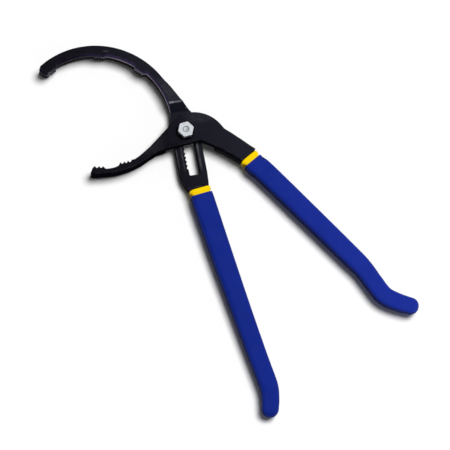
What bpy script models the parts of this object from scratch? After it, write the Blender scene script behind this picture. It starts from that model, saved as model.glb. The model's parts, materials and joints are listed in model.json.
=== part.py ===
"""Slip-joint oil filter pliers: two forged steel arms lapped on one sliding pivot bolt.

The frame has +Z up through the pivot bolt and +Y along the slot towards the jaws. The origin is on
the pivot axis, at the outer face of the bolt's head, which is the lowest face of the tool.
Dimensions are in millimetres and become metres where a mesh is made.
"""

import math

import bmesh
import bpy

MM = 0.001
GAP = 0.3

# Heights above the outer face of the bolt's head.
STEEL_BOTTOM, STEEL_TOP = 2.1, 14.1
LAP_BOTTOM, LAP_TOP = 8.3, 8.6
MIDDLE = (STEEL_BOTTOM + STEEL_TOP) / 2

# Hook arm: a round hook on a straight slotted shank. Each pad is (angle, radius of its tooth tips).
HOOK_CENTRE = (-59.2, 14.6)
HOOK_OUTER, HOOK_INNER, THROAT_RADIUS = 57.2, 51.2, 52.1
HOOK_TIP_ANGLE, NECK_ANGLE, THROAT_END_ANGLE = 124.9, 27.0, 2.0
HOOK_PADS = ((118.3, 49.2), (77.9, 49.7), (44.4, 49.3))
PAD_TEETH = 4
PAD_PITCH = 2.1
PAD_FLANK = 1.8
PAD_NOTCH = 1.3
SHANK_LEFT, SHANK_RIGHT = -8.6, 10.9
LAP_UPPER, LAP_LOWER = 16.2, -39.6
RAMP_UPPER, RAMP_LOWER = 5.8, 0.8

# Slot for the bolt, with notches along its left side.
SLOT_LEFT, SLOT_RIGHT = -1.7, 6.0
SLOT_UPPER, SLOT_LOWER = 6.2, -30.4
FIRST_NOTCH, LAST_NOTCH = 3.8, -27.0
NOTCH_DEPTH, NOTCH_PITCH = 1.2, 3.0

# Lever arm: the short jaw, the round cheek over the pivot and the lever.
CHEEK_CENTRE, CHEEK_RADIUS = (5.2, -10.5), 23.8
POCKET_LEFT, POCKET_RIGHT = -14.5, 19.5
BOLT_HOLE = 3.35

# Pivot bolt with a slimmer threaded end, and its nut.
BOLT_RADIUS, THREAD_RADIUS, NECK_RADIUS = 3.0, 2.0, 1.6
BOLT_TOP, BOLT_CHAMFER = 19.1, 0.2
HEAD_THICK, HEAD_WIDE, HEAD_LONG = 1.8, 15.0, 12.0
KEY_WIDE, KEY_LONG = 7.1, 8.0
NUT_FLATS, NUT_THICK = 10.0, 5.0
NUT_HOLE = 2.3
NUT_FACE, NUT_CONE = 5.4, 0.67
NUT_TURN = 8.0

# Handles. Each layer is an inset from the grip's half width.
SHOULDER_INSET, TANG_INSET = 0.8, 2.9
DIP_INNER, DIP_OUTER, COLLAR_OUTER = 2.4, 1.7, 0.4
GRIP_INNER, GRIP_OUTER = 1.2, 0.0
COLLAR_LENGTH = 4.1
TANG_IN_STEEL = 5.0
SECTION_FLATNESS, SECTION_SQUARENESS = 0.62, 4.6
SECTION_SIDES = 16
NOSE_ANGLES = (30, 52, 70, 83)


def arc(centre, radius, start, end, steps):
    """Points on an arc, from start to end degrees."""
    angles = [math.radians(start + (end - start) * i / steps) for i in range(steps + 1)]
    return [(centre[0] + radius * math.cos(a), centre[1] + radius * math.sin(a)) for a in angles]


def smooth(points, steps):
    """A curve through the points, with steps between each two of them."""
    ends = [points[0], *points, points[-1]]
    found = []
    for a, b, c, d in zip(ends, ends[1:], ends[2:], ends[3:]):
        for i in range(steps):
            t = i / steps
            found.append(
                tuple(
                    0.5 * (2 * q + (r - p) * t + (2 * p - 5 * q + 4 * r - s) * t**2 + (3 * q - p - 3 * r + s) * t**3)
                    for p, q, r, s in zip(a, b, c, d)
                )
            )
    return [*found, tuple(points[-1])]


def toothed(start, end, teeth, depth):
    """A row of pointed teeth between two points on their tips, cut to the left of start to end."""
    along = ((end[0] - start[0]) / (teeth - 1), (end[1] - start[1]) / (teeth - 1))
    length = math.hypot(*along)
    inward = (-along[1] / length * depth, along[0] / length * depth)
    points = []
    for i in range(teeth - 1):
        tip = (start[0] + along[0] * i, start[1] + along[1] * i)
        points.append(tip)
        points.append((tip[0] + along[0] / 2 + inward[0], tip[1] + along[1] / 2 + inward[1]))
    return [*points, end]


def station(spine, distance):
    """The spine's (x, y, half width) at a distance from its start. A negative distance is before the start."""
    for near, far in zip(spine, spine[1:]):
        step = math.dist(near[:2], far[:2])
        if distance <= step:
            break
        distance -= step
    return tuple(a + (b - a) * distance / step for a, b in zip(near, far))


def run(spine, start, end=math.inf):
    """The stretch of a spine between two distances from its start."""
    found, travelled = [station(spine, start)], 0
    for i, point in enumerate(spine):
        travelled += math.dist(spine[i - 1][:2], point[:2]) if i else 0
        if start + 0.5 < travelled < end - 0.5:
            found.append(point)
    return found if end == math.inf else [*found, station(spine, end)]


def shoulder(spine):
    """The two corners where an arm's bare steel ends, just before the collar: the left one, then the right one."""
    (x, y, half), ahead = station(spine, -GAP), station(spine, 2)
    length = math.dist((x, y), ahead[:2])
    right = ((y - ahead[1]) / length, (ahead[0] - x) / length)
    reach = half - SHOULDER_INSET
    return [(x - right[0] * reach, y - right[1] * reach), (x + right[0] * reach, y + right[1] * reach)]


def collection(name, hidden=False):
    made = bpy.data.collections.new(name)
    made.hide_render = hidden
    bpy.context.scene.collection.children.link(made)
    return made


def material(name, colour, metallic, roughness):
    made = bpy.data.materials.new(name)
    made.use_nodes = True
    shader = made.node_tree.nodes["Principled BSDF"]
    shader.inputs["Base Color"].default_value = (*colour, 1)
    shader.inputs["Metallic"].default_value = metallic
    shader.inputs["Roughness"].default_value = roughness
    return made


def solid(name, drawn, into):
    """A closed mesh object made from a curve object, which is removed."""
    bpy.context.view_layer.update()
    mesh = bpy.data.meshes.new_from_object(drawn.evaluated_get(bpy.context.evaluated_depsgraph_get()))
    welded = bmesh.new()
    welded.from_mesh(mesh)
    bmesh.ops.transform(welded, matrix=drawn.matrix_world, verts=welded.verts)
    bmesh.ops.remove_doubles(welded, verts=welded.verts, dist=0.00001)
    bmesh.ops.recalc_face_normals(welded, faces=welded.faces)
    welded.to_mesh(mesh)
    welded.free()
    bpy.data.objects.remove(drawn)
    made = bpy.data.objects.new(name, mesh)
    into.objects.link(made)
    return made


def plate(name, outline, low, high, into):
    """A flat outline extruded between two heights, as a mesh object."""
    curve = bpy.data.curves.new(name, "CURVE")
    curve.dimensions = "2D"
    curve.fill_mode = "BOTH"
    curve.extrude = (high - low) / 2 * MM
    spline = curve.splines.new("POLY")
    spline.points.add(len(outline) - 1)
    for point, (x, y) in zip(spline.points, outline):
        point.co = (x * MM, y * MM, 0, 1)
    spline.use_cyclic_u = True
    drawn = bpy.data.objects.new(name, curve)
    drawn.location.z = (low + high) / 2 * MM
    into.objects.link(drawn)
    return solid(name, drawn, into)


def turned(name, profile, into, steps=32):
    """A profile of (radius, height) points turned about the Z axis, top to bottom on its outer side."""
    mesh = bpy.data.meshes.new(name)
    mesh.from_pydata([(r * MM, 0, z * MM) for r, z in profile], [(i, i + 1) for i in range(len(profile) - 1)], [])
    made = bpy.data.objects.new(name, mesh)
    into.objects.link(made)
    screw = made.modifiers.new("turn", "SCREW")
    screw.steps = screw.render_steps = steps
    screw.use_merge_vertices = True
    screw.merge_threshold = 0.00001
    return made


def section():
    """A handle's cross-section, one unit out to each side: a rectangle with round corners."""
    points = []
    for i in range(SECTION_SIDES):
        a = 2 * math.pi * i / SECTION_SIDES
        across, up = (math.copysign(abs(v) ** (2 / SECTION_SQUARENESS), v) for v in (math.cos(a), math.sin(a)))
        points.append((across, up * SECTION_FLATNESS))
    return points


def swept(name, spine, inset, into, round_end=True):
    """A handle layer as a mesh object: the cross-section swept along a spine of (x, y, half width)."""
    stations = [(x, y, half - inset) for x, y, half in spine]
    if round_end:
        (x, y, reach), near = stations[-1], stations[-2]
        length = math.dist((x, y), near[:2])
        ahead = ((x - near[0]) / length * reach, (y - near[1]) / length * reach)
        for angle in NOSE_ANGLES:
            c, s = math.cos(math.radians(angle)), math.sin(math.radians(angle))
            stations.append((x + ahead[0] * s, y + ahead[1] * s, reach * c))
    guides = []
    for guide, points in (("section", section()), ("path", stations)):
        curve = bpy.data.curves.new(f"{name}_{guide}", "CURVE")
        curve.dimensions = "3D"
        spline = curve.splines.new("POLY")
        spline.points.add(len(points) - 1)
        for point, (x, y, *radius) in zip(spline.points, points):
            point.co = (x * MM, y * MM, 0, 1)
            point.radius = radius[0] if radius else 1
        spline.use_cyclic_u = guide == "section"
        guides.append(bpy.data.objects.new(curve.name, curve))
        into.objects.link(guides[-1])
    outline, drawn = guides
    drawn.location.z = MIDDLE * MM
    drawn.data.twist_mode = "Z_UP"
    drawn.data.bevel_mode = "OBJECT"
    drawn.data.bevel_object = outline
    drawn.data.use_fill_caps = True
    made = solid(name, drawn, into)
    bpy.data.objects.remove(outline)
    return made


def joined(target, other, operation):
    """Adds a Boolean with another object to the target, and turns that object into a helper."""
    boolean = target.modifiers.new(operation.lower(), "BOOLEAN")
    boolean.object = other
    boolean.operation = operation
    boolean.solver = "EXACT"
    other.hide_render = True
    other.display_type = "WIRE"


def finished(target, paint):
    target.data.materials.clear()
    target.data.materials.append(paint)
    target.data.shade_smooth()
    target.data.set_sharp_from_angle(angle=math.radians(35))
    return target


def on_hook(radius, angle):
    """A point by its radius and angle about the hook's centre."""
    return arc(HOOK_CENTRE, radius, angle, angle, 1)[0]


def pad(centre_angle, tip_radius):
    """A toothed pad on the inside of the hook, from its upper side to its lower side."""
    half = PAD_PITCH * (PAD_TEETH - 1) / 2
    points = [on_hook(HOOK_INNER, centre_angle + half + PAD_FLANK)]
    for i in range(2 * PAD_TEETH - 1):
        points.append(on_hook(tip_radius + PAD_NOTCH * (i % 2), centre_angle + half - PAD_PITCH * i / 2))
    return [*points, on_hook(HOOK_INNER, centre_angle - half - PAD_FLANK)]


def hook_outline():
    """The hook arm down to its shoulder at the collar."""
    first, second, third = (pad(*each) for each in HOOK_PADS)
    outer = arc(HOOK_CENTRE, HOOK_OUTER, NECK_ANGLE, HOOK_TIP_ANGLE, 40)
    corners = ((0.4, 0.5), (1.6, 1.1), (3.4, 1.3), (5.4, 0.9), (7.0, -0.6))
    tip = [on_hook(HOOK_OUTER - drop, HOOK_TIP_ANGLE + turn) for drop, turn in corners]
    reach = PAD_PITCH * (PAD_TEETH - 1) / 2 + PAD_FLANK
    angles = [angle for angle, _ in HOOK_PADS]
    upper, lower = (
        arc(HOOK_CENTRE, HOOK_INNER, angles[i] - reach, angles[i + 1] + reach, 12)[1:-1] for i in range(2)
    )
    throat = arc(HOOK_CENTRE, THROAT_RADIUS, angles[2] - reach - 1, THROAT_END_ANGLE, 16)
    left = [(SHANK_LEFT + 0.6, 11.0), (SHANK_LEFT, 6.0), (SHANK_LEFT, -29.0), (-8.2, -33.0), (-6.4, -38.0)]
    right = [(10.6, -36.0), (SHANK_RIGHT, -30.0), (SHANK_RIGHT, 6.4)]
    neck = [(10.4, 10.2), (7.6, 15.6), (4.5, 19.6), (1.3, 24.2), (-4.0, 34.1)]
    inner = [*first[1:], *upper, *second, *lower, *third, *throat]
    return [*outer, *tip, *inner, *left, *shoulder(HOOK_SPINE), *right, *neck]


def slot_outline():
    """The slot's outline, with its notches down the left side."""
    notches = []
    for i in range(round((FIRST_NOTCH - LAST_NOTCH) / NOTCH_PITCH)):
        y = FIRST_NOTCH - NOTCH_PITCH * i
        notches += [(SLOT_LEFT, y), (SLOT_LEFT - NOTCH_DEPTH, y - NOTCH_PITCH / 2)]
    left = [(SLOT_LEFT, SLOT_UPPER), *notches, (SLOT_LEFT, y - NOTCH_PITCH), (SLOT_LEFT, SLOT_LOWER)]
    return [(SLOT_RIGHT, SLOT_UPPER), *left, (SLOT_RIGHT, SLOT_LOWER)]


def lap_cutter(name, upper, upper_ramp, lower, lower_ramp, into):
    """A block with sloping ends that clears the hook arm's upper half along the shank."""
    rise = STEEL_TOP - LAP_BOTTOM
    side = [
        (upper, LAP_BOTTOM),
        (upper + upper_ramp * (rise + 4) / rise, STEEL_TOP + 4),
        (lower - lower_ramp * (rise + 4) / rise, STEEL_TOP + 4),
        (lower, LAP_BOTTOM),
    ]
    block = plate(name, side, -30, 30, into)
    # The side view is drawn flat, so it turns to stand along the shank.
    turn = bmesh.new()
    turn.from_mesh(block.data)
    for vert in turn.verts:
        y, z, x = vert.co
        vert.co = (x, y, z)
    bmesh.ops.recalc_face_normals(turn, faces=turn.faces)
    turn.to_mesh(block.data)
    turn.free()
    return block


HOOK_SPINE = smooth(
    [
        (3.0, -41.3, 8.0),
        (8.8, -85.0, 7.7),
        (15.4, -130.0, 7.0),
        (20.2, -161.0, 6.6),
        (22.0, -172.0, 6.5),
        (24.2, -186.0, 6.4),
        (23.6, -195.0, 6.1),
        (22.2, -201.7, 5.8),
    ],
    3,
)

LEVER_SPINE = smooth(
    [
        (41.3, -23.5, 7.4),
        (45.8, -30.8, 7.5),
        (53.1, -39.6, 7.5),
        (97.1, -102.5, 7.1),
        (105.6, -115.2, 6.7),
        (110.6, -125.6, 6.5),
        (116.0, -135.8, 6.4),
        (123.6, -141.6, 6.2),
        (132.9, -146.3, 5.8),
    ],
    3,
)


def lever_outline():
    """The lever arm down to its shoulder at the collar."""
    cheek = arc(CHEEK_CENTRE, CHEEK_RADIUS, 31, 123, 26)
    corner = [(-9.3, 8.0), (-10.4, 6.4), (-11.4, 4.9)]
    inner = [(-13.2, 3.3), (-18.0, -0.5), (-26.3, -7.2), (-34.3, -12.4), (-38.3, -14.5)]
    upper_teeth = toothed((-40.6, -14.5), (-48.7, -15.1), 4, 1.8)
    recess = [(-50.2, -17.4), (-52.9, -18.2), (-56.2, -18.5), (-59.4, -18.3)]
    lower_teeth = toothed((-60.8, -16.1), (-66.5, -15.2), 3, 1.7)
    tip = [(-68.1, -16.2), (-69.3, -17.6), (-69.6, -19.0), (-69.0, -20.3), (-67.3, -21.1)]
    under = [(-60.0, -21.7), (-54.5, -21.9), (-48.8, -21.5), (-41.5, -20.2), (-33.9, -17.7), (-26.1, -13.9)]
    belly = [(-21.0, -11.6), (-14.8, -10.5), (-7.7, -9.6), (1.0, -8.6), (8.3, -7.8)]
    crook = [(10.2, -8.0), (12.4, -9.4)]
    below = [(18.9, -13.4), (25.2, -17.8), (30.8, -22.4)]
    above = [(43.8, -17.1), (37.5, -10.9), (31.4, -5.1), (27.7, -1.9)]
    jaw = [*corner, *inner, *upper_teeth, *recess, *lower_teeth, *tip, *under, *belly]
    return [*cheek, *jaw, *crook, *below, *shoulder(LEVER_SPINE), *above]


def hook_arm(parts, cutters, steel):
    arm = plate("hook_arm", hook_outline(), STEEL_BOTTOM, STEEL_TOP, parts)
    joined(arm, swept("hook_tang", run(HOOK_SPINE, -TANG_IN_STEEL), TANG_INSET, cutters), "UNION")
    joined(arm, lap_cutter("lap_cutter", LAP_UPPER, RAMP_UPPER, LAP_LOWER, RAMP_LOWER, cutters), "DIFFERENCE")
    joined(arm, plate("slot_cutter", slot_outline(), STEEL_BOTTOM - 1, STEEL_TOP + 1, cutters), "DIFFERENCE")
    return finished(arm, steel)


def lever_arm(parts, cutters, steel):
    arm = plate("lever_arm", lever_outline(), STEEL_BOTTOM, STEEL_TOP, parts)
    joined(arm, swept("lever_tang", run(LEVER_SPINE, -TANG_IN_STEEL), TANG_INSET, cutters), "UNION")
    pocket = [(POCKET_LEFT, -30), (POCKET_RIGHT, -30), (POCKET_RIGHT, 30), (POCKET_LEFT, 30)]
    joined(arm, plate("pocket_cutter", pocket, STEEL_BOTTOM - 1, LAP_TOP, cutters), "DIFFERENCE")
    hole = plate("bolt_hole_cutter", arc((0, 0), BOLT_HOLE, 0, 345, 23), LAP_TOP - 1, STEEL_TOP + 1, cutters)
    joined(arm, hole, "DIFFERENCE")
    return finished(arm, steel)


def pivot_bolt(parts, cutters, zinc):
    """The bolt: a flat head under the shank, a key in the slot, a round pivot and a slimmer threaded end."""
    key_middle = (SLOT_LEFT + SLOT_RIGHT) / 2
    middle = HEAD_THICK / 2
    thread = [(THREAD_RADIUS - BOLT_CHAMFER, BOLT_TOP), (THREAD_RADIUS, BOLT_TOP - BOLT_CHAMFER)]
    low = LAP_BOTTOM + GAP / 2
    pivot = [(THREAD_RADIUS, STEEL_TOP), (BOLT_RADIUS, STEEL_TOP), (BOLT_RADIUS, low), (NECK_RADIUS, low)]
    bolt = turned("pivot_bolt", [(0, BOLT_TOP), *thread, *pivot, (NECK_RADIUS, middle), (0, middle)], parts)
    head = plate("head", round_block(key_middle, HEAD_WIDE, HEAD_LONG, 3.0), 0, HEAD_THICK, cutters)
    key = plate("key", round_block(key_middle, KEY_WIDE, KEY_LONG, 0.6), middle, LAP_BOTTOM - 0.1, cutters)
    joined(bolt, head, "UNION")
    joined(bolt, key, "UNION")
    return finished(bolt, zinc)


def round_block(middle, wide, long, radius):
    """A rectangle with round corners, centred on x = middle."""
    x, y = wide / 2 - radius, long / 2 - radius
    corners = ((x, y, 0), (-x, y, 90), (-x, -y, 180), (x, -y, 270))
    return [point for cx, cy, start in corners for point in arc((middle + cx, cy), radius, start, start + 90, 4)]


def hex_nut(parts, cutters, zinc):
    """A plain hex nut with its corners turned off at both faces."""
    low = STEEL_TOP + GAP
    high = low + NUT_THICK
    corner = NUT_FLATS / 2 / math.cos(math.pi / 6)
    nut = plate("hex_nut", arc((0, 0), corner, NUT_TURN, NUT_TURN + 300, 5), low, high, parts)
    far = corner + 0.5
    cone = [(0, 1), (NUT_FACE - 1 / NUT_CONE, 1), (far, (NUT_FACE - far) * NUT_CONE)]
    profile = [(r, high + z) for r, z in cone] + [(r, low - z) for r, z in reversed(cone)]
    joined(nut, turned("nut_corners", profile, cutters, 48), "INTERSECT")
    joined(nut, plate("nut_hole", arc((0, 0), NUT_HOLE, 0, 345, 23), low - 1, high + 1, cutters), "DIFFERENCE")
    return finished(nut, zinc)


def sleeves(name, spine, parts, cutters, paints):
    """The two dipped layers on one tang: the inner one shows as a collar, and the outer one is the grip."""
    dip = swept(f"{name}_collar", run(spine, COLLAR_LENGTH / 2), DIP_OUTER, parts)
    ring = swept(f"{name}_ring", run(spine, 0, COLLAR_LENGTH), COLLAR_OUTER, cutters, round_end=False)
    joined(dip, ring, "UNION")
    joined(dip, swept(f"{name}_tang_space", run(spine, -TANG_IN_STEEL), DIP_INNER, cutters), "DIFFERENCE")
    grip = swept(f"{name}_grip", run(spine, COLLAR_LENGTH + GAP), GRIP_OUTER, parts)
    joined(grip, swept(f"{name}_dip_space", run(spine, 0), GRIP_INNER, cutters), "DIFFERENCE")
    return [finished(dip, paints["yellow"]), finished(grip, paints["blue"])]


def build():
    for obj in list(bpy.data.objects):
        bpy.data.objects.remove(obj)
    parts, cutters = collection("oil_filter_pliers"), collection("cutters", hidden=True)
    steel = material("black_steel", (0.016, 0.015, 0.02), 0.85, 0.42)
    zinc = material("zinc_steel", (0.72, 0.74, 0.76), 1.0, 0.3)
    paints = {
        "blue": material("blue_vinyl", (0.012, 0.03, 0.32), 0.0, 0.38),
        "yellow": material("yellow_vinyl", (0.95, 0.68, 0.01), 0.0, 0.4),
    }
    fixed = [hook_arm(parts, cutters, steel), *sleeves("hook", HOOK_SPINE, parts, cutters, paints)]
    sliding = [pivot_bolt(parts, cutters, zinc), hex_nut(parts, cutters, zinc)]
    turning = [lever_arm(parts, cutters, steel), *sleeves("lever", LEVER_SPINE, parts, cutters, paints)]
    frame = bpy.data.objects.new("hook_side", None)
    slide = bpy.data.objects.new("slot_slide", None)
    hinge = bpy.data.objects.new("pivot", None)
    for empty, children in ((frame, fixed), (slide, sliding), (hinge, turning)):
        parts.objects.link(empty)
        for child in children:
            child.parent = empty
    slide.parent = frame
    hinge.parent = slide


build()
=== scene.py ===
"""The looks of a pair of slip-joint oil filter pliers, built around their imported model.

Lengths are in millimetres, and MM makes metres of them. Each piece stands for one CAD node and rides on
that node's body: the steel is each node's own solid with a finer skin, and the dipped vinyl is swept anew.
"""

import json
import math

import bmesh
import bpy
import numpy as np
from mathutils import Matrix, Vector


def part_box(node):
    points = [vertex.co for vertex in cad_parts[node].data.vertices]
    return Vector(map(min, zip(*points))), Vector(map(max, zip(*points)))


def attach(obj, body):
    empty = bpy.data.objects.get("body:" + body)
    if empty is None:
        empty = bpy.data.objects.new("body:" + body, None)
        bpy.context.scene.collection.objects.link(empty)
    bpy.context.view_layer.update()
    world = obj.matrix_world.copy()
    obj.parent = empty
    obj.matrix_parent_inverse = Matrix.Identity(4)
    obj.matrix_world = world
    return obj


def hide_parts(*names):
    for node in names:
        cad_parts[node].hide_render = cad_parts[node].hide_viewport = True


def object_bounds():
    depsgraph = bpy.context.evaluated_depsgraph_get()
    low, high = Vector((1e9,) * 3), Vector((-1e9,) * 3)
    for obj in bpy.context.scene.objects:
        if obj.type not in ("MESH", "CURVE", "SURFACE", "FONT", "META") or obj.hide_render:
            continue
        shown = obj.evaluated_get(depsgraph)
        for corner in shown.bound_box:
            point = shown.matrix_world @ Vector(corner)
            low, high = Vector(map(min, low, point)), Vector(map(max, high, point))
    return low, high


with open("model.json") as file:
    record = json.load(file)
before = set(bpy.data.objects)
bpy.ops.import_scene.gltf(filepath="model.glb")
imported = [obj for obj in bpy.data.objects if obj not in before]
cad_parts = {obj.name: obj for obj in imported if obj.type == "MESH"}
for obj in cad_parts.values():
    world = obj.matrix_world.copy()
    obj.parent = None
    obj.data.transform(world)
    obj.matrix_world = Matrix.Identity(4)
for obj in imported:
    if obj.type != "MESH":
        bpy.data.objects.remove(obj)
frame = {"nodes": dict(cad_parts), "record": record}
cad_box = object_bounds()

MM = 0.001
STEEL_LOW, STEEL_HIGH = (corner.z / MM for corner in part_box("hook_arm"))
MIDDLE = (STEEL_LOW + STEEL_HIGH) / 2
NUT_LOW, NUT_HIGH = (corner.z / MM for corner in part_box("hex_nut"))
BOLT_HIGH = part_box("pivot_bolt")[1].z / MM
BODY_OF = {node: body for body, nodes in frame["record"]["behaviour"]["bodies"].items() for node in nodes}

# Sizes of the remeshing grids, and the share of a forging's faces that is kept.
FORGING_GRID, FITTING_GRID = 0.34, 0.13
FORGING_KEPT = 0.45

# Forging: the walls lean in from a parting line at mid height.
DRAFT = 0.3
PARTING_HALF, PARTING_PROUD = 0.4, 0.14
SLOT_REGION = ((-4.2, 7.2), (-31.6, 7.4))

# Handles: spines of (x, y, half width), and layers as insets from that half width.
HOOK_SPINE = [
    (3.0, -41.3, 8.0),
    (8.8, -85.0, 7.7),
    (15.4, -130.0, 7.0),
    (20.2, -161.0, 6.6),
    (22.0, -172.0, 6.5),
    (24.2, -186.0, 6.4),
    (23.6, -195.0, 6.1),
    (22.2, -201.7, 5.8),
]
LEVER_SPINE = [
    (41.3, -23.5, 7.4),
    (45.8, -30.8, 7.5),
    (53.1, -39.6, 7.5),
    (97.1, -102.5, 7.1),
    (105.6, -115.2, 6.7),
    (110.6, -125.6, 6.5),
    (116.0, -135.8, 6.4),
    (123.6, -141.6, 6.2),
    (132.9, -146.3, 5.8),
]
COLLAR_LENGTH = 4.1
DIP_INNER, DIP_OUTER, COLLAR_OUTER = 2.4, 1.7, 0.4
GRIP_INNER, GRIP_OUTER = 1.2, 0.0
SECTION_FLATNESS, SECTION_SQUARENESS = 0.62, 4.6
SECTION_SIDES = 56

# Thread on the end of the bolt and in the nut.
THREAD_PITCH, THREAD_DEPTH = 0.7, 0.28
THREAD_RADIUS, NUT_HOLE = 2.0, 2.3
DIMPLE_RADIUS, DIMPLE_DEPTH = 1.9, 0.4

# The hook, whose pads stand inside its inner radius.
HOOK_CENTRE, HOOK_INNER = (-59.2, 14.6), 51.2

# Camera: angles about the object in degrees, then distance, aim, lens and sensor in millimetres, and
# clipping in metres.
CAMERA_TURN, CAMERA_TILT, CAMERA_ROLL = 34.8, 17.2, 25.0
CAMERA_DISTANCE, CAMERA_LENS = 1785.0, 206.5
CAMERA_AIM = (15.98, -69.2, 8.1)
CAMERA_SENSOR, CAMERA_NEAR, CAMERA_FAR = 36, 0.05, 50

# Light: the sun's strength, then its spread and height and the sky's lean, in degrees. The sky's strength in
# shadows and behind the object. Floor: half its width, in metres.
SUN_STRENGTH, SUN_SPREAD, SUN_HEIGHT = 3.55, 28, 73
SKY_LEAN = 20
SKY_IN_SHADOWS, SKY_BACKDROP = 0.09, 0.93
FLOOR_HALF = 12.0

# Colours of the blackened steel, from its skin to its painted sheen, reflection and highlights, its wear and
# the painted shade round the nut.
BLACK_DEEP, BLACK_PALE = (0.0022, 0.0014, 0.0036), (0.0045, 0.0036, 0.007)
BLACK_MOTTLE, BLACK_PAINTED_SHEEN = (0.009, 0.0085, 0.013), (0.0135, 0.0155, 0.024)
WALL_SHEEN, WALL_PAINTED_REFLECTION = (0.06, 0.042, 0.115), (0.019, 0.018, 0.019)
PARTING_BAND_AND_HIGHLIGHT, WORN_AND_HIGHLIGHT_BRIGHT = (0.62, 0.58, 0.70), (0.30, 0.30, 0.34)
# Painted shade round the nut.
PAINTED_NUT_SHADE = (0.0006, 0.0005, 0.0008)

# Colours of the plated parts, the two dips and the floor.
ZINC_PALE, ZINC_DEEP, ZINC_END_SHADE = (0.84, 0.88, 0.92), (0.74, 0.79, 0.83), (0.78, 0.81, 0.82)
YELLOW_DEEP, YELLOW_PALE = (0.84, 0.55, 0.001), (0.90, 0.64, 0.002)
BLUE_DEEP, BLUE_PALE = (0.0015, 0.012, 0.165), (0.007, 0.021, 0.255)
VINYL_SIDE_SHADE = (0.002, 0.002, 0.003)
FLOOR_DEEP, FLOOR_PALE = (0.86, 0.86, 0.86), (0.88, 0.88, 0.88)


# ---------------------------------------------------------------- meshes


def placed(name, mesh, node, paint):
    """A new piece that stands for a CAD node and rides on its body."""
    piece = bpy.data.objects.new(name, mesh)
    bpy.context.scene.collection.objects.link(piece)
    mesh.materials.clear()
    mesh.materials.append(paint)
    mesh.shade_smooth()
    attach(piece, BODY_OF[node])
    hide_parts(node)
    return piece


def evaluated(mesh, modifiers):
    """A copy of the mesh with modifiers applied. Each is (type, {setting: value})."""
    holder = bpy.data.objects.new("holder", mesh)
    bpy.context.scene.collection.objects.link(holder)
    for kind, settings in modifiers:
        modifier = holder.modifiers.new(kind, kind)
        for key, value in settings.items():
            setattr(modifier, key, value)
    bpy.context.view_layer.update()
    made = bpy.data.meshes.new_from_object(holder.evaluated_get(bpy.context.evaluated_depsgraph_get()))
    bpy.data.objects.remove(holder)
    return made


def skinned(node, voxel, passes):
    """The node's solid as an even fine mesh whose edges are softly rounded."""
    mesh = frame["nodes"][node].data.copy()
    welded = bmesh.new()
    welded.from_mesh(mesh)
    bmesh.ops.remove_doubles(welded, verts=welded.verts, dist=1e-6)
    welded.to_mesh(mesh)
    welded.free()
    return evaluated(
        mesh,
        [
            ("REMESH", {"mode": "VOXEL", "voxel_size": voxel * MM}),
            ("SMOOTH", {"factor": 0.5, "iterations": passes}),
        ],
    )


def points_of(mesh):
    """The mesh's points and their normals, in millimetres, as two arrays."""
    points, normals = (np.empty(len(mesh.vertices) * 3, np.float32) for _ in range(2))
    mesh.vertices.foreach_get("co", points)
    mesh.vertex_normals.foreach_get("vector", normals)
    return points.reshape(-1, 3).astype(float) / MM, normals.reshape(-1, 3).astype(float)


def set_points(mesh, points):
    mesh.vertices.foreach_set("co", (points * MM).astype(np.float32).ravel())
    mesh.update()


def forging(name, node, paint):
    """A forged arm: its walls lean in from a proud parting line, apart from the machined slot."""
    mesh = skinned(node, FORGING_GRID, passes=2)
    points, normals = points_of(mesh)
    rise = np.abs(points[:, 2] - MIDDLE)
    wall = np.clip((0.75 - np.abs(normals[:, 2])) / 0.4, 0, 1)
    lean = PARTING_PROUD + DRAFT * rise / (STEEL_HIGH - MIDDLE)
    lean = np.where(rise < PARTING_HALF, 0, lean)
    (left, right), (low, high) = SLOT_REGION
    inside = (points[:, 0] > left) & (points[:, 0] < right) & (points[:, 1] > low) & (points[:, 1] < high)
    wall[inside] = 0
    flat = normals * (1, 1, 0)
    flat /= np.maximum(np.linalg.norm(flat, axis=1, keepdims=True), 1e-6)
    set_points(mesh, points - flat * (wall * lean)[:, None])
    mesh = evaluated(mesh, [("DECIMATE", {"decimate_type": "COLLAPSE", "ratio": FORGING_KEPT})])
    return placed(name, mesh, node, paint)


def thread(points, radius_from, radius_to, low, high, sign):
    """Points moved in or out in a helix, where they lie on a round wall about the Z axis."""
    radius = np.hypot(points[:, 0], points[:, 1])
    on_wall = (radius > radius_from) & (radius < radius_to) & (points[:, 2] > low) & (points[:, 2] < high)
    turn = np.arctan2(points[:, 1], points[:, 0]) / (2 * math.pi)
    phase = (points[:, 2] / THREAD_PITCH - turn) % 1
    depth = THREAD_DEPTH * np.abs(2 * phase - 1) * on_wall
    scale = 1 + sign * depth / np.maximum(radius, 0.1)
    moved = points.copy()
    moved[:, :2] *= scale[:, None]
    return moved


def bolt(name, node, paint):
    """The pivot bolt, with a thread on its slimmer end and a centre dimple."""
    mesh = skinned(node, FITTING_GRID, passes=2)
    points, _ = points_of(mesh)
    points = thread(points, THREAD_RADIUS - 0.2, THREAD_RADIUS + 0.1, STEEL_HIGH + 0.2, BOLT_HIGH - 0.4, -1)
    radius = np.hypot(points[:, 0], points[:, 1])
    dimple = (1 + np.cos(np.clip(radius / DIMPLE_RADIUS, 0, 1) * math.pi)) / 2 * DIMPLE_DEPTH
    points[:, 2] -= np.where(points[:, 2] > BOLT_HIGH - 0.2, dimple, 0)
    set_points(mesh, points)
    return placed(name, mesh, node, paint)


def nut(name, node, paint):
    """The hex nut, with a thread and a bore that narrows at its top."""
    mesh = skinned(node, FITTING_GRID, passes=1)
    points, _ = points_of(mesh)
    points = thread(points, 0, NUT_HOLE + 0.1, NUT_LOW + 0.5, NUT_HIGH - 0.5, 0.4)
    radius = np.hypot(points[:, 0], points[:, 1])
    rim = np.clip(1 - (NUT_HIGH - points[:, 2]) / 0.5, 0, 1) * (radius < NUT_HOLE + 0.1)
    points[:, :2] *= (1 - 0.07 * rim)[:, None]
    set_points(mesh, points)
    return placed(name, mesh, node, paint)


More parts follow.
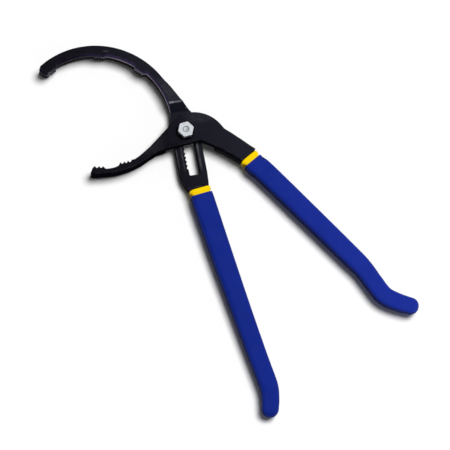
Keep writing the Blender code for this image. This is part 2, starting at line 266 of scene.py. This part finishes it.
class Spine:
    """A smooth handle line through a few points of (x, y, half width), measured along its length."""

    def __init__(self, points):
        ends = np.array([points[0], *points, points[-1]])
        t = np.linspace(0, 1, 40, endpoint=False)[:, None]
        parts = [
            0.5 * (2 * b + (c - a) * t + (2 * a - 5 * b + 4 * c - d) * t**2 + (3 * b - a - 3 * c + d) * t**3)
            for a, b, c, d in zip(ends, ends[1:], ends[2:], ends[3:])
        ]
        self.line = np.vstack([*parts, ends[-1:]])
        steps = np.linalg.norm(np.diff(self.line[:, :2], axis=0), axis=1)
        self.travel = np.concatenate([[0], np.cumsum(steps)])
        self.length = self.travel[-1]

    def at(self, distance):
        """(centre, heading, half width) at a distance from the start, or just outside either end."""
        held = min(max(distance, 0.0), self.length)
        x, y, half = (np.interp(held, self.travel, self.line[:, i]) for i in range(3))
        behind, ahead = (
            np.array([np.interp(s, self.travel, self.line[:, i]) for i in range(2)])
            for s in (max(held - 1, 0), min(held + 1, self.length))
        )
        heading = (ahead - behind) / np.linalg.norm(ahead - behind)
        return np.array([x, y]) + heading * (distance - held), heading, half


def section_ring(spine, distance, inset, squeeze=1.0):
    """One round of points about the spine: a flattened rectangle with round corners and sides."""
    centre, heading, half = spine.at(distance)
    reach = (half - inset) * squeeze
    power = 2 / SECTION_SQUARENESS
    ring = []
    for i in range(SECTION_SIDES):
        a = 2 * math.pi * (i + 0.5) / SECTION_SIDES
        across, up = (math.copysign(abs(v) ** power, v) for v in (math.cos(a), math.sin(a)))
        x, y = centre + np.array([heading[1], -heading[0]]) * across * reach
        ring.append((x, y, MIDDLE + up * reach * SECTION_FLATNESS))
    return ring


def tip_rings(spine, inset, steps=9):
    """Rounds of points that close a handle's far end in a round nose."""
    reach = spine.at(spine.length)[2] - inset
    angles = [math.radians(86 * i / steps) for i in range(1, steps + 1)]
    return [section_ring(spine, spine.length + reach * math.sin(a), inset, math.cos(a)) for a in angles]


def layer_mesh(name, spine, start, inner, outer_profile, step=1.6):
    """A dipped layer, closed at the far end: its inside, a round lip at the start and its outside.

    outer_profile gives the outer inset at a distance from the spine's start.
    """
    body = list(np.arange(start + 1.0, spine.length, step)) + [spine.length]
    inside = [section_ring(spine, s, inner) for s in reversed(body)]
    first = outer_profile(start + 1.0)
    lip, centre = (inner - first) / 2, (inner + first) / 2
    edge = []
    for i in range(9):
        a = math.pi * i / 8
        edge.append(section_ring(spine, start + lip * (1 - math.sin(a)), centre + lip * math.cos(a)))
    fine = np.arange(start + lip + 0.3, start + 1.0, 0.3)
    outside = [section_ring(spine, s, outer_profile(s)) for s in [*fine, *body]]
    rings = [
        *reversed(tip_rings(spine, inner)),
        *inside,
        *edge,
        *outside,
        *tip_rings(spine, outer_profile(spine.length)),
    ]
    made = bmesh.new()
    rounds = [[made.verts.new(Vector(p) * MM) for p in ring] for ring in rings]
    for near, far in zip(rounds, rounds[1:]):
        for i in range(SECTION_SIDES):
            j = (i + 1) % SECTION_SIDES
            made.faces.new((near[i], near[j], far[j], far[i]))
    made.faces.new(rounds[0][::-1])
    made.faces.new(rounds[-1])
    bmesh.ops.recalc_face_normals(made, faces=made.faces)
    mesh = bpy.data.meshes.new(name)
    made.to_mesh(mesh)
    made.free()
    return mesh


def collar_profile(distance):
    """The yellow dip's outer inset: full under the band that shows, and slim where the grip covers it."""
    return COLLAR_OUTER if distance < COLLAR_LENGTH - 0.6 else DIP_OUTER


def grip_profile(distance):
    """The blue dip's outer inset: its rim stands a touch thinner for the first few millimetres."""
    return GRIP_OUTER + 0.16 * math.exp(-(distance - COLLAR_LENGTH) / 1.6)


# ---------------------------------------------------------------- materials


class Paint:
    """A Principled material with short calls for the nodes that drive it."""

    def __init__(self, name, **values):
        self.material = bpy.data.materials.new(name)
        self.material.use_nodes = True
        self.tree = self.material.node_tree
        self.shader = self.tree.nodes["Principled BSDF"]
        for key, value in values.items():
            self.shader.inputs[key.replace("_", " ")].default_value = value
        coordinates = self.node("ShaderNodeTexCoord").outputs["Object"]
        scaled = self.node("ShaderNodeVectorMath", coordinates, operation="SCALE")
        scaled.inputs["Scale"].default_value = 1 / MM
        self.place = scaled.outputs[0]

    def node(self, kind, *inputs, **settings):
        made = self.tree.nodes.new(kind)
        for key, value in settings.items():
            setattr(made, key, value)
        for socket, value in zip(made.inputs, inputs):
            self.feed(socket, value)
        return made

    def feed(self, socket, value):
        if isinstance(value, bpy.types.NodeSocket):
            self.tree.links.new(value, socket)
        elif value is not None:
            socket.default_value = value

    def noise(self, size, detail=3.0, roughness=0.55):
        """Noise whose blobs are about size millimetres across."""
        made = self.node("ShaderNodeTexNoise")
        self.feed(made.inputs["Vector"], self.place)
        made.inputs["Scale"].default_value = 1 / size
        made.inputs["Detail"].default_value = detail
        made.inputs["Roughness"].default_value = roughness
        return made.outputs["Fac"]

    def ranged(self, value, low, high, to_low=0.0, to_high=1.0):
        made = self.node("ShaderNodeMapRange", value, low, high, to_low, to_high)
        return made.outputs[0]

    def maths(self, operation, a, b=None):
        return self.node("ShaderNodeMath", a, b, operation=operation).outputs[0]

    def radius(self, x, y, centre=(0.0, 0.0)):
        """The distance from a vertical line through a centre."""
        away = [self.maths("SUBTRACT", value, middle) for value, middle in zip((x, y), centre)]
        return self.maths("SQRT", self.maths("ADD", *(self.times(each, each) for each in away)))

    def facing(self):
        """1 on level faces, 0 on upright walls."""
        normal = self.node("ShaderNodeNewGeometry").outputs["Normal"]
        return self.maths("ABSOLUTE", self.node("ShaderNodeSeparateXYZ", normal).outputs[2])

    def times(self, *values):
        found = values[0]
        for value in values[1:]:
            found = self.maths("MULTIPLY", found, value)
        return found

    def most(self, *values):
        found = values[0]
        for value in values[1:]:
            found = self.maths("MAXIMUM", found, value)
        return found

    def mixed(self, share, a, b):
        """Colour a, going over to colour b as share goes to 1."""
        made = self.node("ShaderNodeMix", data_type="RGBA")
        self.feed(made.inputs["Factor"], share)
        for socket, colour in ((made.inputs[6], a), (made.inputs[7], b)):
            self.feed(socket, (*colour, 1) if isinstance(colour, tuple) else colour)
        return made.outputs[2]

    def axes(self):
        return self.node("ShaderNodeSeparateXYZ", self.place).outputs

    def near(self, value, centre, core, edge):
        """1 within core of a centre, falling to 0 at edge from it."""
        away = self.maths("ABSOLUTE", self.maths("SUBTRACT", value, centre))
        return self.ranged(away, core, edge, 1.0, 0.0)

    def bumped(self, *layers):
        """Bump from (height, depth in millimetres) layers."""
        normal = None
        for height, depth in layers:
            bump = self.node("ShaderNodeBump")
            bump.inputs["Distance"].default_value = depth * MM
            self.feed(bump.inputs["Height"], height)
            self.feed(bump.inputs["Normal"], normal)
            normal = bump.outputs["Normal"]
        self.feed(self.shader.inputs["Normal"], normal)

    def set(self, **sockets):
        for key, value in sockets.items():
            self.feed(self.shader.inputs[key.replace("_", " ")], value)


def black_steel(name, wear_and_highlight_patches, jaw_wear_and_sheen, reflection_from, sheen_from, nut_shade_on):
    """Blackened forged steel, bright where it wears, with painted highlights, sheen, reflection and shade.

    Each patch is (x, y, half x, half y, lowest z, strength) and paints wear together with painted
    highlights.
    jaw_wear_and_sheen is 1 on the arm whose pads show wear, whose parting line is a bright flash band with a
    painted highlight and whose upper wall has a painted sheen; grime is 1 on the arm with a painted ring of
    shade round the nut. The lower wall carries a painted reflection of the floor from x = reflection_from
    on, and the skin is painted paler to the right of sheen_from as a painted sheen.
    """
    paint = Paint(name, Specular_IOR_Level=0.06)
    x, y, z = paint.axes()
    broad, mottle, grain = paint.noise(22, 2), paint.noise(3.5, 4), paint.noise(0.5, 3)
    facing = paint.facing()
    wall = paint.ranged(facing, 0.2, 0.5, 1.0, 0.0)
    pointed = paint.node("ShaderNodeNewGeometry").outputs["Pointiness"]
    edge = paint.times(paint.ranged(pointed, 0.53, 0.6), paint.ranged(mottle, 0.42, 0.62), 0.25)
    along = paint.ranged(paint.maths("ADD", x, paint.times(y, -0.2)), -100, -10)
    # The parting line: a bright flash band, partly real and partly a painted highlight where it catches the
    # light.
    parting = paint.times(
        paint.near(z, MIDDLE, PARTING_HALF * 0.9, PARTING_HALF * 1.7),
        wall,
        paint.ranged(along, 0.36, 0.6, 0.1, 1.0),
        paint.ranged(y, 10, 14),
        jaw_wear_and_sheen,
    )
    out = paint.radius(x, y, HOOK_CENTRE)
    pads = paint.times(paint.ranged(out, HOOK_INNER - 1.7, HOOK_INNER - 0.8, 0.4, 0.0), wall, jaw_wear_and_sheen)
    wear_and_highlights = paint.most(edge, pads)
    # Patches of wear, several of them painted highlights along edges.
    for px, py, half_x, half_y, lowest, strength in wear_and_highlight_patches:
        spot = paint.times(
            paint.near(x, px, half_x * 0.6, half_x * 1.3),
            paint.near(y, py, half_y * 0.6, half_y * 1.3),
            paint.ranged(z, lowest - 0.3, lowest),
            paint.ranged(mottle, 0.3, 0.6, 0.3, 1.0),
            strength,
        )
        wear_and_highlights = paint.most(wear_and_highlights, spot)
    skin = paint.mixed(paint.ranged(broad, 0.35, 0.65), BLACK_DEEP, BLACK_PALE)
    skin = paint.mixed(paint.ranged(mottle, 0.35, 0.7, 0.0, 0.4), skin, BLACK_MOTTLE)
    # Painted sheen: the level faces are painted paler towards the upper right, where the light falls.
    painted_sheen = paint.ranged(paint.maths("ADD", x, paint.times(y, 0.45)), sheen_from, sheen_from + 70, 0.0, 0.8)
    skin = paint.mixed(painted_sheen, skin, BLACK_PAINTED_SHEEN)
    # Painted sheen: a purple reflection painted on the upper half of the hook's walls.
    sheen = paint.times(
        paint.near(z, (MIDDLE + STEEL_HIGH) / 2, 1.9, 2.8),
        wall,
        paint.ranged(broad, 0.3, 0.6, 0.5, 1.0),
        paint.ranged(along, 0.25, 0.5, 0.15, 1.0),
        jaw_wear_and_sheen,
    )
    skin = paint.mixed(sheen, skin, WALL_SHEEN)
    # Painted reflection: the lower half of the walls is painted paler, standing in for the floor seen in
    # them.
    lower = paint.times(
        paint.ranged(z, MIDDLE - 1.0, MIDDLE - 0.6, 1.0, 0.0),
        wall,
        paint.ranged(x, reflection_from, reflection_from + 10),
    )
    skin = paint.mixed(lower, skin, WALL_PAINTED_REFLECTION)
    skin = paint.mixed(parting, skin, PARTING_BAND_AND_HIGHLIGHT)
    skin = paint.mixed(wear_and_highlights, skin, WORN_AND_HIGHLIGHT_BRIGHT)
    # Painted shade: a dark ring on the steel round the nut, where the nut's shadow falls.
    painted_nut_shade = paint.times(paint.ranged(paint.radius(x, y), 5.9, 6.7, 1.0, 0.0), nut_shade_on)
    skin = paint.mixed(painted_nut_shade, skin, PAINTED_NUT_SHADE)
    rough = paint.ranged(mottle, 0.3, 0.7, 0.36, 0.5)
    rough = paint.maths("SUBTRACT", rough, paint.times(wear_and_highlights, 0.12))
    shine = paint.most(paint.ranged(facing, 0.3, 0.8, 0.0, 0.06), paint.times(parting, 0.5))
    shine = paint.times(shine, paint.maths("SUBTRACT", 1.0, painted_nut_shade))
    paint.set(Base_Color=skin, Roughness=rough, Metallic=paint.times(wear_and_highlights, 0.5), Specular_IOR_Level=shine)
    paint.bumped((mottle, 0.05), (grain, 0.012))
    return paint.material


def zinc(name, end_shading):
    """Bright zinc plate with fine turning marks.

    dull is 1 for the bolt, whose end is painted greyer as shade round an off-centre spot left bright as a
    painted highlight.
    """
    paint = Paint(name, Metallic=1.0)
    x, y, z = paint.axes()
    cloud, speck = paint.noise(1.6, 4), paint.noise(0.25, 2)
    rings = paint.maths("SINE", paint.times(paint.radius(x, y), 26.0))
    colour = paint.mixed(paint.ranged(cloud, 0.35, 0.7), ZINC_PALE, ZINC_DEEP)
    # Painted shade and highlight: the bolt's end is painted greyer except at an off-centre spot that stands
    # in for a highlight.
    away_from_highlight = paint.ranged(paint.radius(x, y, (0.2, -0.6)), 0.5, 1.1)
    end = paint.times(away_from_highlight, paint.ranged(z, BOLT_HIGH - 1.0, BOLT_HIGH - 0.7), end_shading)
    colour = paint.mixed(end, colour, ZINC_END_SHADE)
    paint.set(Base_Color=colour, Roughness=paint.ranged(cloud, 0.3, 0.7, 0.26, 0.42))
    paint.bumped((rings, 0.003), (speck, 0.006))
    return paint.material


def vinyl(name, deep, pale, roughness):
    """Dipped vinyl: even colour with faint clouding and a painted sheen towards +x, painted shade down its
    sides, a soft skin and fine pores.
    """
    paint = Paint(name, Specular_IOR_Level=0.2)
    x = paint.axes()[0]
    cloud, ripple, pore = paint.noise(16, 3), paint.noise(4.5, 2), paint.noise(0.45, 2)
    facing = paint.facing()
    # Faint clouding of tone, and a painted sheen making the dips paler towards +x.
    share = paint.maths("ADD", paint.ranged(cloud, 0.3, 0.7, 0.0, 0.3), paint.ranged(x, 10, 120, 0.0, 0.7))
    colour = paint.mixed(share, deep, pale)
    # Painted shade: the sides are painted darker, as they lie in shade.
    colour = paint.mixed(paint.ranged(facing, 0.15, 0.65, 0.65, 0.0), colour, VINYL_SIDE_SHADE)
    rough = paint.ranged(ripple, 0.3, 0.7, roughness - 0.05, roughness + 0.06)
    shine = paint.ranged(facing, 0.2, 0.7, 0.01, 0.2)
    paint.set(Base_Color=colour, Roughness=rough, Specular_IOR_Level=shine)
    paint.bumped((ripple, 0.05), (pore, 0.006))
    return paint.material


def pale_floor(name):
    """A plain pale floor with a trace of clouding."""
    paint = Paint(name, Roughness=0.7)
    colour = paint.mixed(paint.noise(300, 2), FLOOR_DEEP, FLOOR_PALE)
    paint.set(Base_Color=colour)
    return paint.material


# ---------------------------------------------------------------- the object


def tool():
    # Wear together with painted highlights on the ramp's edge and the shank's edges by the slot; the lever
    # gets faint pale patches.
    hook_wear_and_highlights = [
        (-3.6, 22.2, 6.0, 0.5, 13.2, 0.4),
        (-6.3, 22.2, 2.4, 0.6, 13.2, 0.9),
        (4.9, 18.4, 0.8, 0.7, 9.0, 0.5),
        (-4.3, -12.0, 0.6, 13.0, 8.0, 0.13),
        (-7.9, -17.0, 0.4, 7.0, 8.0, 0.14),
        (7.4, -15.0, 0.7, 11.0, 8.0, 0.2),
        (-4.0, 31.0, 12.0, 9.0, 13.2, 0.05),
        (-44.5, 65.9, 1.8, 0.5, 13.2, 0.12),
    ]
    lever_pale_patches = [(-30.0, -4.0, 12.0, 8.0, 13.2, 0.03), (14.0, 9.0, 11.0, 4.0, 13.2, 0.035)]
    forging("hook_forging", "hook_arm", black_steel("hook_black_steel", hook_wear_and_highlights, 1.0, -104, -30, 0.0))
    forging("lever_forging", "lever_arm", black_steel("lever_black_steel", lever_pale_patches, 0.0, 5, -15, 1.0))
    bolt("threaded_pivot_bolt", "pivot_bolt", zinc("bolt_zinc", 1.0))
    nut("threaded_hex_nut", "hex_nut", zinc("nut_zinc", 0.0))
    yellow = vinyl("yellow_dipped_vinyl", YELLOW_DEEP, YELLOW_PALE, 0.42)
    blue = vinyl("blue_dipped_vinyl", BLUE_DEEP, BLUE_PALE, 0.42)
    for side, points in (("hook", HOOK_SPINE), ("lever", LEVER_SPINE)):
        spine = Spine(points)
        dip = layer_mesh(f"{side}_yellow_dip", spine, -0.2, DIP_INNER, collar_profile)
        placed(f"{side}_yellow_dip", dip, f"{side}_collar", yellow)
        grip = layer_mesh(f"{side}_blue_dip", spine, COLLAR_LENGTH + 0.1, GRIP_INNER, grip_profile)
        placed(f"{side}_blue_dip", grip, f"{side}_grip", blue)


def stage():
    floor = bpy.data.meshes.new("floor")
    corners = [(FLOOR_HALF * x, FLOOR_HALF * y, 0) for x, y in ((-1, -1), (1, -1), (1, 1), (-1, 1))]
    floor.from_pydata(corners, [], [(0, 1, 2, 3)])
    floor.materials.append(pale_floor("pale_floor"))
    ground = bpy.data.objects.new("floor", floor)
    ground.location.z = cad_box[0].z
    bpy.context.scene.collection.objects.link(ground)


def camera():
    data = bpy.data.cameras.new("camera")
    data.lens = CAMERA_LENS
    data.sensor_width = CAMERA_SENSOR
    data.clip_start, data.clip_end = CAMERA_NEAR, CAMERA_FAR
    turn = Matrix.Rotation(-math.radians(CAMERA_TURN), 3, "Z")
    turn = turn @ Matrix.Rotation(math.radians(CAMERA_TILT), 3, "X")
    turn = turn @ Matrix.Rotation(math.radians(CAMERA_ROLL), 3, "Z")
    made = bpy.data.objects.new("camera", data)
    made.location = (Vector(CAMERA_AIM) + turn @ Vector((0, 0, CAMERA_DISTANCE))) * MM
    made.rotation_euler = turn.to_euler()
    bpy.context.scene.collection.objects.link(made)
    bpy.context.scene.camera = made
    return turn


def glow(tree, direction, towards, near, far, dim, bright):
    """How bright the sky is: a soft patch about a direction."""
    dot = tree.nodes.new("ShaderNodeVectorMath")
    dot.operation = "DOT_PRODUCT"
    dot.inputs[1].default_value = towards
    tree.links.new(direction, dot.inputs[0])
    shade = tree.nodes.new("ShaderNodeMapRange")
    shade.interpolation_type = "SMOOTHSTEP"
    for socket, value in zip(shade.inputs, (0, far, near, dim, bright)):
        socket.default_value = value
    tree.links.new(dot.outputs["Value"], shade.inputs[0])
    return shade.outputs[0]


def lights(view):
    """A soft sun from the picture's upper right, and a pale sky that is bright above the object."""
    right, up = (((view @ Vector(axis)) * Vector((1, 1, 0))).normalized() for axis in ((1, 0, 0), (0, 1, 0)))
    towards = (right + up * 0.85).normalized()
    sun = bpy.data.lights.new("key", "SUN")
    sun.energy = SUN_STRENGTH
    sun.angle = math.radians(SUN_SPREAD)
    made = bpy.data.objects.new("key", sun)
    made.visible_glossy = False
    height = math.radians(SUN_HEIGHT)
    aim = towards * math.cos(height) + Vector((0, 0, math.sin(height)))
    made.rotation_euler = aim.to_track_quat("Z", "Y").to_euler()
    bpy.context.scene.collection.objects.link(made)
    world = bpy.data.worlds.new("studio")
    world.use_nodes = True
    bpy.context.scene.world = world
    tree = world.node_tree
    direction = tree.nodes.new("ShaderNodeTexCoord").outputs["Generated"]
    lean = math.radians(SKY_LEAN)
    above = (towards * math.sin(lean) + Vector((0, 0, math.cos(lean)))).normalized()
    beside = (right * 0.9 - up * 0.6 + Vector((0, 0, 0.35))).normalized()
    both = tree.nodes.new("ShaderNodeMath")
    both.operation = "MAXIMUM"
    tree.links.new(glow(tree, direction, above, 0.97, 0.55, 0.16, 0.85), both.inputs[0])
    tree.links.new(glow(tree, direction, beside, 0.96, 0.8, 0.0, 1.8), both.inputs[1])
    # The camera sees an even backdrop, and the sky fills the shadows only a little.
    path = tree.nodes.new("ShaderNodeLightPath")
    strength = both.outputs[0]
    for ray, value in (("Is Diffuse Ray", SKY_IN_SHADOWS), ("Is Camera Ray", SKY_BACKDROP)):
        choice = tree.nodes.new("ShaderNodeMix")
        tree.links.new(path.outputs[ray], choice.inputs["Factor"])
        tree.links.new(strength, choice.inputs[2])
        choice.inputs[3].default_value = value
        strength = choice.outputs[0]
    tree.links.new(strength, tree.nodes["Background"].inputs["Strength"])
    tree.nodes["Background"].inputs["Color"].default_value = (1, 1, 1, 1)


tool()
stage()
lights(camera())
bpy.context.scene.view_settings.view_transform = "Standard"
